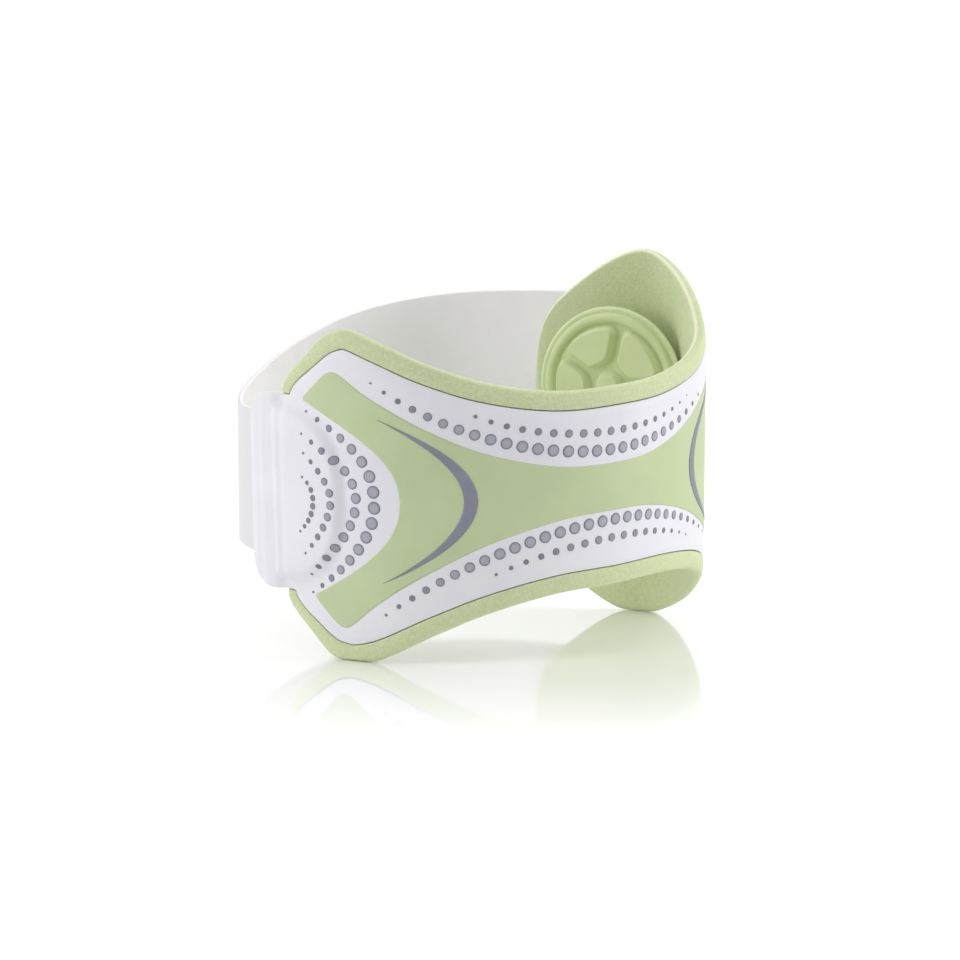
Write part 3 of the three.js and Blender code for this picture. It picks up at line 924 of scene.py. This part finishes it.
@dataclass
class CoverPrint:
    """Ink on the cover: a green field, two crescents and dots in rows and arcs.

    A crescent's edges hold start, bow and power. The rows of dot_rings hold
    share of the dot's width, share of the puff and edge value.
    """

    cover: CoverPanel
    middle: float = -2.3
    field_edge: Rows = (
        (0, 5.2), (10, 5.6), (20, 7.5), (30, 10.6), (40, 15.3), (48, 19.8), (54, 23.4), (58.5, 26.5),
        (60.5, 27.5), (62.3, 27.4), (64, 26.5), (70, 21.6),
    )
    field_fork: float = 46.4
    field_end: float = 70.0
    fork_width: float = 5.07
    fork_power: float = 0.447
    low_arm_reach: float = 0.91
    low_arm_drop: float = 0.03
    crescent_inner: tuple[float, float, float] = (33.0, 0.0645, 1.95)
    crescent_outer: tuple[float, float, float] = (30.1, 0.0575, 2.04)
    crescent_half: float = 17.8
    ink: float = 0.035
    puff: float = 0.12
    sunk: float = 0.03
    field_steps: int = 60
    field_rows: int = 24
    field_thinnest: float = 0.2
    crescent_steps: int = 73
    crescent_rows: int = 6
    crescent_thinnest: float = 0.12
    arc_steps: int = 400
    dot_sides: int = 20
    dot_rings: tuple[tuple[float, float, float], ...] = (
        (0.45, 1.0, 0.0), (0.7, 1.0, 0.15), (0.88, 0.92, 1.0), (1.0, 0.45, 1.0),
    )
    ringed_from: float = 2.4
    solid_under: float = 1.2
    dot_rows: tuple[DotRow, ...] = (
        DotRow(1, 8.2, 0.00566, 1.6e-7, -0.7, -54.1, 27, 2.65, 13.2, 14.2, 2.8),
        DotRow(-1, 7.26, 0.00622, 1.0e-7, -0.7, -52.6, 28, 2.65, 13.2, 14.6, 2.8),
        DotRow(1, 12.2, 0.00439, 1.4e-6, -0.5, -32.5, 18, 1.85, 7.6, 10.4, 2.0),
        DotRow(-1, 11.2, 0.00561, 7.9e-7, -0.1, -28.9, 17, 1.85, 7.6, 9.6, 2.0),
    )
    dot_arcs: tuple[DotArc, ...] = (
        DotArc(-54.35, -0.5, (18.5, 17.15, 2.6), (-21.2, 16.75, 2.0), 17, 2.85, 0.058),
        DotArc(-58.6, 0.0, (13.8, 13.0, 2.1), (-17.1, 12.1, 1.77), 14, 2.45, 0.03),
        DotArc(-64.0, 0.0, (9.6, 7.2, 1.8), (-12.4, 7.5, 1.75), 11, 1.95),
        DotArc(-68.8, -0.6, (4.3, 3.0, 2.5), (-7.7, 4.1, 2.1), 9, 1.5),
    )

    def film(
        self, name: str, along: Array, height: Array, faces: list[tuple[int, ...]], lift: Array,
        edge: Array | None = None,
    ) -> bpy.types.Object:
        """Lays a closed film of ink on the cover.

        Args:
            name: Name of the piece.
            along: Places of the film's vertices.
            height: Heights of the film's vertices.
            faces: Faces of the upper side, counter-clockwise in the flat.
            lift: Height of each vertex above the cover.
            edge: Edge value of each vertex.

        Returns:
            The film.
        """
        base = self.cover.outer(along, height)
        near = self.cover.half(along) - np.abs(height)
        base = base - self.cover.edge_sink * smooth(self.cover.edge_reach, 0, near)
        band = self.cover.band
        count = len(along)
        points = np.vstack([
            band.loop.place(along, height, depth, band.half(along))
            for depth in (base + lift, base - self.sunk)
        ])
        directed = {(f[i], f[(i + 1) % len(f)]) for f in faces for i in range(len(f))}
        sides = [(a + count, b + count, b, a) for a, b in directed if (b, a) not in directed]
        under = [tuple(i + count for i in reversed(f)) for f in faces]
        flat = np.stack([along, height, base], axis=-1)
        edge = np.zeros(count) if edge is None else edge
        return make_object(name, points, faces + sorted(sides) + under, {
            "flat": np.vstack([flat, flat]), "edge": np.hstack([edge, edge]),
        })

    def field(self) -> bpy.types.Object:
        """Builds the green field, whose arms fork towards both ends."""
        waist = np.linspace(0, self.field_fork, self.field_steps)[:-1]
        steps = np.linspace(0, 1, self.field_steps) ** 2
        arm = self.field_fork + (self.field_end - self.field_fork) * steps
        out = np.concatenate([waist, arm])
        low = self.fork_width * np.maximum(out - self.field_fork, 0) ** self.fork_power
        high = np.maximum(between(self.field_edge, out), low + self.field_thinnest)
        share = np.linspace(0, 1, self.field_rows)
        height = low[:, None] + (high - low)[:, None] * share
        along = np.repeat(out[:, None], len(share), axis=1)
        past_fork = np.maximum(along - self.field_fork, 0)
        low_along = along - (1 - self.low_arm_reach) * past_fork
        low_height = height * (1 + self.low_arm_drop * smooth(self.field_fork, self.field_end, along))
        alongs, heights, faces = [], [], []
        for end in (-1, 1):
            for side in (-1, 1):
                first = sum(len(a) for a in alongs)
                quads = grid_faces(len(out), len(share), first)
                faces += quads if end * side > 0 else [tuple(reversed(q)) for q in quads]
                short = end < 0 and side < 0
                alongs.append(self.middle + end * (low_along if short else along).ravel())
                heights.append(side * (low_height if short else height).ravel())
        along, height = np.concatenate(alongs), np.concatenate(heights)
        faces, keep = self.welded(along, height, faces)
        lift = np.full(len(keep), self.ink)
        return self.film("print_green_field", along[keep], height[keep], faces, lift)

    @staticmethod
    def welded(along: Array, height: Array, faces: list[tuple[int, ...]]) -> tuple[list, Array]:
        """Joins vertices that share a flat place.

        Args:
            along: Places of the vertices.
            height: Heights of the vertices.
            faces: Faces by the old numbers.

        Returns:
            Faces by the new numbers, and the old number of each new vertex.
        """
        key = np.round(np.stack([along, height], axis=-1), 5) + 0.0
        _, keep, new = np.unique(key, axis=0, return_index=True, return_inverse=True)
        new = new.ravel()
        joined = []
        for f in faces:
            ring = list(dict.fromkeys(int(new[i]) for i in f))
            if len(ring) > 2:
                joined.append(tuple(ring))
        return joined, keep

    def crescent(self, name: str, end: int) -> bpy.types.Object:
        """Builds one crescent.

        Args:
            name: Name of the piece.
            end: -1 for the crescent towards the tongue, 1 towards the lobe.

        Returns:
            The crescent's film.
        """
        height = np.linspace(-self.crescent_half, self.crescent_half, self.crescent_steps)
        edges = []
        for start, bow, power in (self.crescent_outer, self.crescent_inner):
            edges.append(start + bow * np.abs(height) ** power)
        near, far = edges[0], np.maximum(edges[1], edges[0] + self.crescent_thinnest)
        share = np.linspace(0, 1, self.crescent_rows)
        along = self.middle + end * (near[:, None] + (far - near)[:, None] * share)
        heights = np.repeat(height[:, None], len(share), axis=1)
        quads = grid_faces(len(height), len(share))
        faces = [tuple(reversed(q)) for q in quads] if end > 0 else quads
        return self.film(name, along.ravel(), heights.ravel(), faces, np.full(along.size, self.puff))

    def dots(self, name: str, places: list[tuple[float, float, float]]) -> bpy.types.Object:
        """Builds a group of dots.

        Args:
            name: Name of the piece.
            places: Along, height and diameter of each dot.

        Returns:
            The dots as one film.
        """
        turn = np.arange(self.dot_sides) * 2 * np.pi / self.dot_sides
        alongs, heights, lifts, edges, faces = [], [], [], [], []
        for along, height, width in places:
            first = len(alongs)
            solid = float(smooth(self.ringed_from, self.solid_under, width))
            alongs.append(along)
            heights.append(height)
            lifts.append(self.puff)
            edges.append(solid)
            for share, lift, edge in self.dot_rings:
                alongs += (along + width / 2 * share * np.cos(turn)).tolist()
                heights += (height + width / 2 * share * np.sin(turn)).tolist()
                lifts += [self.puff * lift] * self.dot_sides
                edges += [max(edge, solid)] * self.dot_sides
            for i in range(self.dot_sides):
                j = (i + 1) % self.dot_sides
                faces.append((first, first + 1 + i, first + 1 + j))
                for ring in range(len(self.dot_rings) - 1):
                    at = first + 1 + ring * self.dot_sides
                    over = at + self.dot_sides
                    faces.append((at + i, over + i, over + j, at + j))
        return self.film(
            name, np.array(alongs), np.array(heights), faces, np.array(lifts), np.array(edges)
        )

    def rows(self) -> list[tuple[float, float, float]]:
        """Lists the dots of the rows that follow the waist's edges."""
        places: list[tuple[float, float, float]] = []
        for row in self.dot_rows:
            along = row.first
            for i in range(row.count):
                width = row.width * (1 - abs((i - row.widest) / row.reach) ** row.power)
                places.append((along, row.side * row.height(along), width))
                along = row.step(along)
        return places

    def arcs(self) -> list[tuple[float, float, float]]:
        """Lists the dots of the arcs over the raised end."""
        places: list[tuple[float, float, float]] = []
        for arc in self.dot_arcs:
            height = np.linspace(arc.top[0], arc.bottom[0], self.arc_steps)
            along = arc.along(height)
            run = np.concatenate([[0], np.cumsum(np.hypot(np.diff(along), np.diff(height)))])
            for i in range(arc.count):
                part = i / (arc.count - 1)
                at = float(np.interp(run[-1] * (part + arc.sag * part * (1 - part)), run, height))
                share = abs(2 * i / (arc.count - 1) - 1)
                size = arc.smallest + (arc.width - arc.smallest) * (1 - share ** arc.power)
                places.append((float(arc.along(np.array(at))), at, size))
        return places

    def build(self) -> list[bpy.types.Object]:
        """Builds and finishes every printed piece."""
        return [
            hand_over(self.field(), GREEN_INK),
            hand_over(self.crescent("print_left_crescent", -1), SLATE_INK),
            hand_over(self.crescent("print_right_crescent", 1), SLATE_INK),
            hand_over(self.dots("print_dot_rows", self.rows()), DOT_INK),
            hand_over(self.dots("print_dot_arcs", self.arcs()), DOT_INK),
        ]


@dataclass
class ClosureStrap:
    """Brushed strap from the lobe's outer face round the back to the tongue.

    outline holds place along and half height. outside holds the shares of the
    thickness between which the greyer outer side begins; that grey is painted shade.
    """

    band: FoamBand
    start: float = 62.0
    before_foam: float = 1.2
    outline: Rows = (
        (62, 25), (63.5, 28.4), (66.5, 30.4), (80, 32.6), (100, 33.5), (125, 33), (148, 30),
        (168, 24.4), (186, 18.8), (202, 16.2), (218, 16),
    )
    thickness: float = 1.2
    edge: float = 0.45
    on_lobe: float = 1.9
    under_tongue: float = -1.5
    leaves_lobe: float = 106.0
    settled: float = 172.0
    count: int = 240
    crowding: float = 0.5
    rows: int = 33
    end_round: float = 0.9
    end_thinnest: float = 0.08
    outside: tuple[float, float] = (0.3, 0.7)
    seams: tuple[float, ...] = (66.0, 69.0)
    seam_half: float = 28.0
    stitch: float = 2.6
    stitch_gap: float = 0.7
    stitch_sunk: float = 0.1
    stitch_dip: float = 0.28
    thread: float = 0.5
    thread_tip: float = 0.02
    thread_sides: int = 8
    thread_rings: int = 7

    def inner(self, along: Array) -> Array:
        """Depth of the strap's inner face."""
        settle = smooth(self.leaves_lobe, self.settled, along)
        return self.on_lobe + (self.under_tongue - self.on_lobe) * settle

    def build(self) -> bpy.types.Object:
        """Lofts the strap.

        Returns:
            The strap as one closed mesh.
        """
        end = self.band.loop.length + self.band.left_end - self.before_foam
        along = stations(self.start, end, self.count, self.crowding)
        half = between(self.outline, along)
        heights = (half - self.edge)[:, None] * np.linspace(-1, 1, self.rows)
        inner = np.repeat(self.inner(along)[:, None], self.rows, axis=1)
        ring = WallRing(half, np.full_like(half, self.edge), inner, inner + self.thickness, heights)
        height, depth = ring.loop()
        ends = np.minimum(along - self.start, end - along)
        pinch = rounded_end(ends, self.end_round, self.end_thinnest)
        middle = inner[:, [0]] + self.thickness / 2
        depth = middle + (depth - middle) * pinch
        points = self.band.loop.place(along[:, None], height, depth)
        flat = flat_places(along, height, depth)
        self.flat = (2 * float(half.max()) * MM, (end - self.start) * MM)
        self.area = float(np.trapz(2 * half, along)) * MM * MM
        # Painted shade: the outer side and the outer halves of the edges take the greyer edge colour.
        outside = smooth(*self.outside, (depth - inner[:, [0]]) / self.thickness)
        return make_object("brushed_closure_strap", points, tube_faces(*height.shape), {
            "flat": flat, "edge": outside,
        })

    def stitches(self) -> bpy.types.Object:
        """Sews the strap's end to the lobe with two rows of stitches.

        Returns:
            All stitches as one mesh of small closed threads.
        """
        sides, rings = self.thread_sides, self.thread_rings
        turn = np.arange(sides) * 2 * np.pi / sides
        step = np.linspace(-1, 1, rings)
        points, faces = [], []
        pitch = self.stitch + self.stitch_gap
        for along in self.seams:
            top = float(self.inner(np.array(along))) + self.thickness
            for low in np.arange(-self.seam_half, self.seam_half - self.stitch, pitch):
                first = sum(len(p) for p in points)
                girth = self.thread / 2 * np.sqrt(np.maximum(1 - step ** 4, self.thread_tip))
                height = low + self.stitch / 2 * (1 + step)
                rise = top - self.stitch_sunk - self.stitch_dip * step ** 4
                ring_along = along + girth[:, None] * np.cos(turn)
                ring_depth = rise[:, None] + girth[:, None] * np.sin(turn)
                place = self.band.loop.place(ring_along, height[:, None], ring_depth)
                points.append(place.reshape(-1, 3))
                for r in range(rings - 1):
                    for c in range(sides):
                        a, b = first + r * sides, first + (r + 1) * sides
                        d = (c + 1) % sides
                        faces.append((a + c, b + c, b + d, a + d))
                faces.append(tuple(first + c for c in range(sides)))
                faces.append(tuple(first + (rings - 1) * sides + c for c in reversed(range(sides))))
        return make_object("strap_seam_stitches", np.vstack(points), faces)

    def dress(self, piece: bpy.types.Object, sewn: bpy.types.Object) -> None:
        """Gives the strap its brushed loop finish and the stitches that sew it to the lobe their thread
        finish, in place of its solid.
        """
        hand_over(piece, BRUSHED_LOOP)
        hand_over(sewn, SEWING_THREAD)
        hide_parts("closure_strap")


@dataclass
class PressurePad:
    """Round moulded pad with a flange, a step and a ring of segments.

    profile holds radius and rise from the base round the flange to the bed.
    base holds the radii of the rings that lie on the wall. The bevel field is how strong
    the painted highlight is on the segments' bevels and the flange's edge.
    """

    loop: ArmLoop
    along: float = 81.4
    height: float = 12.2
    seat: float = -1.5
    lift: float = 0.5
    span: float = 9.0
    reach: float = 14.0
    base: tuple[float, ...] = (4.0, 8.0, 11.5)
    profile: Rows = (
        (14.5, 2.2), (17.3, 4.2), (18.2, 4.5), (18.5, 4.85), (18.45, 5.15), (18.2, 5.38), (17.8, 5.46),
        (17.45, 5.44), (17.2, 5.36), (17.05, 5.4), (16.95, 5.6), (16.85, 5.95), (16.7, 6.25), (16.4, 6.42),
        (15.9, 6.5), (15.5, 6.46), (15.1, 6.25), (14.8, 5.9), (14.6, 5.55),
    )
    segments: int = 5
    turn: float = 5.0
    ring_inner: float = 4.8
    ring_outer: float = 14.3
    groove: float = 0.5
    slope: float = 1.2
    corner: float = 2.6
    hub: float = 3.7
    floor: float = 5.3
    bevel_highlight: float = 0.55
    crown: float = 7.6
    bed: float = 14.4
    sides: int = 250
    bed_smallest: float = 0.25
    flange_highlight_radius: tuple[float, float] = (17.6, 18.3)
    flange_highlight_rise: tuple[float, float] = (4.7, 5.2)
    rings: int = 80

    def rise(self, radius: Array, angle: Array) -> Array:
        """Height of the pad's bed, with segments parted by grooves.

        Args:
            radius: Distances from the pad's middle.
            angle: Angles round it.

        Returns:
            Rise above the base, in millimetres.
        """
        pitch = 2 * np.pi / self.segments
        turned = np.mod(angle - math.radians(self.turn), pitch)
        from_groove = np.minimum(turned, pitch - turned) * radius
        ring = np.minimum(radius - self.ring_inner, self.ring_outer - radius)
        near = self.rounded(ring, from_groove - self.groove)
        hub = self.hub - radius
        inside = np.clip(np.maximum(near, hub) / self.slope, 0, 1)
        return self.floor + (self.crown - self.floor) * smooth(0, 1, inside)

    def rounded(self, first: Array, second: Array) -> Array:
        """Distance inside a corner of two edges, rounded by the corner's size."""
        a = np.clip(1 - first / self.corner, 0, None)
        b = np.clip(1 - second / self.corner, 0, None)
        return self.corner * (1 - np.hypot(a, b))

    def wall_point(self, along: float, height: float) -> Array:
        """Level place on the wall that the pad sits on."""
        return self.loop.level(along, height, self.seat)

    def frame(self) -> tuple[Array, Array]:
        """Frame of the pad on the lobe's inner face, from chords of the wall.

        Returns:
            Seat point and the three axes as rows, in level millimetres.
        """
        at = self.wall_point
        across = at(self.along - self.reach, self.height) - at(self.along + self.span, self.height)
        across = across / np.linalg.norm(across)
        up = at(self.along, self.height + self.span) - at(self.along, self.height - self.span)
        arm = np.cross(across, up)
        arm = arm / np.linalg.norm(arm)
        return at(self.along, self.height), np.stack([across, np.cross(arm, across), arm])

    def build(self) -> bpy.types.Object:
        """Turns the pad and stands it on the lobe's inner face.

        Returns:
            The pad as one closed mesh.
        """
        angle = np.arange(self.sides) * 2 * np.pi / self.sides
        outside = np.array(self.profile, float)
        bed = np.linspace(self.bed, self.bed_smallest, self.rings)
        seat, axes = self.frame()
        under = np.array(self.base)[:, None]
        below = self.loop.level(
            self.along - under * np.cos(angle), self.height + under * np.sin(angle), self.seat,
        )
        radius = np.concatenate([outside[:, 0], bed])[:, None]
        rise = np.vstack([
            np.repeat(outside[:, 1:], self.sides, axis=1), self.rise(bed[:, None], angle),
        ])
        own = np.stack([radius * np.cos(angle), radius * np.sin(angle), rise + self.lift], axis=-1)
        level = np.vstack([
            [seat], below.reshape(-1, 3), seat + own.reshape(-1, 3) @ axes,
            [seat + np.array([0, 0, self.crown + self.lift]) @ axes],
        ])
        rows = len(under) + len(radius)
        faces = [(0, 1 + (i + 1) % self.sides, 1 + i) for i in range(self.sides)]
        top = len(level) - 1
        for i in range(self.sides):
            j = (i + 1) % self.sides
            for r in range(rows - 1):
                a, b = 1 + r * self.sides, 1 + (r + 1) * self.sides
                faces.append((a + i, a + j, b + j, b + i))
            last = 1 + (rows - 1) * self.sides
            faces.append((last + i, last + j, top))
        # Painted highlight: the flange's edge and the segments' bevels take the pale edge colour.
        flange = smooth(*self.flange_highlight_radius, radius) * smooth(*self.flange_highlight_rise, rise)
        climb = np.clip((rise - self.floor) / (self.crown - self.floor), 0, 1)
        bevel_highlight = np.where(radius <= self.bed, 4 * climb * (1 - climb), 0)
        edge = np.zeros(len(level))
        edge[1 + len(under) * self.sides:-1] = self.bevel_highlight * np.maximum(flange, bevel_highlight).ravel()
        points = self.loop.stood(level)
        return make_object("moulded_pressure_pad", points, faces, {"edge": edge, "flat": level})

    def dress(self, piece: bpy.types.Object) -> None:
        """Gives the pad its firm moulded rubber finish in place of its solid."""
        hand_over(piece, MOULDED_RUBBER)
        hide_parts("pressure_pad")


@dataclass
class HookPatch:
    """Hook tape between the tongue and the strap, carried over from its solid."""

    node: str = "hook_patch"

    def dress(self) -> None:
        """Gives the solid its hook tape finish."""
        solid = bpy.data.objects[self.node]
        solid.data.materials.clear()
        solid.data.materials.append(HOOK_TAPE.build())
        LOG.info("%s: solid kept, %s", self.node, HOOK_TAPE.name)


@dataclass
class Studio:
    """White glossy floor, soft light all round and the photograph's camera.

    Sizes are in metres, lens and sensor in millimetres, elevation in degrees.
    Each lamp holds name, place, size and power.
    """

    loop: ArmLoop
    floor_size: float = 8.0
    floor_front: float = -0.34
    floor_gloss: float = 0.5
    floor_roughness: float = 0.05
    gloss_full: float = -0.045
    gloss_gone: float = -0.19
    card_half: float = 1.2
    card_back: float = -1.1
    card_top: float = 1.0
    card_lift: float = 0.001
    sky: float = 1.04
    aim: tuple[float, float, float] = (0.0, 0.0, 0.04)
    elevation: float = 5.887
    distance: float = 0.8
    lens: float = 132.0
    sensor: float = 36.0
    shift: tuple[float, float] = (0.0091, -0.0186)
    clip: float = 0.01
    lamps: tuple[tuple[str, tuple[float, float, float], float, float], ...] = (
        ("left_softbox", (-0.85, -0.3, 0.16), 0.5, 1.9),
        ("right_softbox", (0.85, 0.0, 0.5), 0.6, 3.0),
        ("front_softbox", (-0.2, -0.5, 0.9), 0.6, 1.0),
    )

    def floor(self) -> None:
        """Lays a white acrylic sheet, matte white under a thin clear gloss."""
        size = self.floor_size / 2
        front = self.floor_front
        corners = np.array([[-size, front, 0], [size, front, 0], [size, size, 0], [-size, size, 0]])
        sheet = make_object("studio_floor", corners, [(0, 1, 2, 3)])
        material = bpy.data.materials.new("white_acrylic_sheet")
        material.use_nodes = True
        tree = material.node_tree
        tree.nodes.clear()
        white = add_node(tree, "ShaderNodeBsdfDiffuse", {}, {"Color": linear("#ffffff")})
        gloss = add_node(tree, "ShaderNodeBsdfGlossy", {}, {
            "Color": linear("#ffffff"), "Roughness": self.floor_roughness,
        })
        place = add_node(tree, "ShaderNodeTexCoord", {}, {}).outputs["Object"]
        depth = add_node(tree, "ShaderNodeSeparateXYZ", {}, {0: place}).outputs["Y"]
        share = add_node(tree, "ShaderNodeMapRange", {"interpolation_type": "SMOOTHSTEP"}, {
            "Value": depth, "From Min": self.gloss_gone, "From Max": self.gloss_full,
            "To Min": 0.0, "To Max": self.floor_gloss,
        }).outputs["Result"]
        mixed = add_node(tree, "ShaderNodeMixShader", {}, {
            0: share, 1: white.outputs[0], 2: gloss.outputs[0],
        })
        add_node(tree, "ShaderNodeOutputMaterial", {}, {"Surface": mixed.outputs[0]})
        sheet.data.materials.append(material)

    def card(self) -> None:
        """Lays a dark card from the floor's front edge and turns it up behind the camera.

        It keeps the front from being overlit, and neither the camera nor a
        reflection sees it.
        """
        half = self.card_half
        low = self.card_lift
        corners = np.array([
            [-half, self.floor_front, low], [half, self.floor_front, low],
            [half, self.card_back, low], [-half, self.card_back, low],
            [half, self.card_back, self.card_top], [-half, self.card_back, self.card_top],
        ])
        card = make_object("studio_dark_card", corners, [(0, 1, 2, 3), (3, 2, 4, 5)])
        material = bpy.data.materials.new("black_felt_card")
        material.use_nodes = True
        shader = material.node_tree.nodes["Principled BSDF"]
        shader.inputs["Base Color"].default_value = linear("#141414")
        shader.inputs["Roughness"].default_value = 1.0
        card.data.materials.append(material)
        card.visible_camera = False
        card.visible_glossy = False

    def light(self) -> None:
        """Sets the sky and the softboxes."""
        scene = bpy.context.scene
        world = scene.world or bpy.data.worlds.new("studio_sky")
        scene.world = world
        world.use_nodes = True
        sky = world.node_tree.nodes["Background"]
        sky.inputs["Color"].default_value = (1.0, 1.0, 1.0, 1.0)
        sky.inputs["Strength"].default_value = self.sky
        for name, place, size, power in self.lamps:
            lamp = bpy.data.lights.new(name, "AREA")
            lamp.size = size
            lamp.energy = power
            box = bpy.data.objects.new(name, lamp)
            box.location = place
            aim = np.array(self.aim) - np.array(place)
            box.rotation_euler = (
                math.atan2(math.hypot(aim[0], aim[1]), -aim[2]), 0.0, math.atan2(-aim[0], aim[1]),
            )
            scene.collection.objects.link(box)

    def camera(self) -> None:
        """Puts the camera at the photograph's place."""
        scene = bpy.context.scene
        data = bpy.data.cameras.new("photo_camera")
        data.lens = self.lens
        data.sensor_width = self.sensor
        data.shift_x, data.shift_y = self.shift
        data.clip_start = self.clip
        camera = bpy.data.objects.new("photo_camera", data)
        tilt = math.radians(self.elevation)
        aim = self.loop.stood(np.array([0.0, 0.0, 0.0]))
        camera.location = aim + self.distance * np.array([0.0, -math.cos(tilt), math.sin(tilt)])
        camera.rotation_euler = (math.pi / 2 - tilt, 0.0, 0.0)
        scene.collection.objects.link(camera)
        scene.camera = camera
        scene.view_settings.view_transform = "Standard"

    def build(self) -> None:
        """Builds the whole studio."""
        self.floor()
        self.card()
        self.light()
        self.camera()


def main() -> None:
    """Builds the pieces in order, then the studio."""
    logging.basicConfig(level=logging.INFO, format="%(name)s %(message)s")
    loop = ArmLoop()
    band = FoamBand(loop)
    band.dress(band.build())
    cover = CoverPanel(band)
    panel = cover.build()
    cover.dress(panel, CoverPrint(cover).build())
    strap = ClosureStrap(band)
    strap.dress(strap.build(), strap.stitches())
    pad = PressurePad(loop)
    pad.dress(pad.build())
    HookPatch().dress()
    Studio(loop).build()


if __name__ == "__main__":
    main()
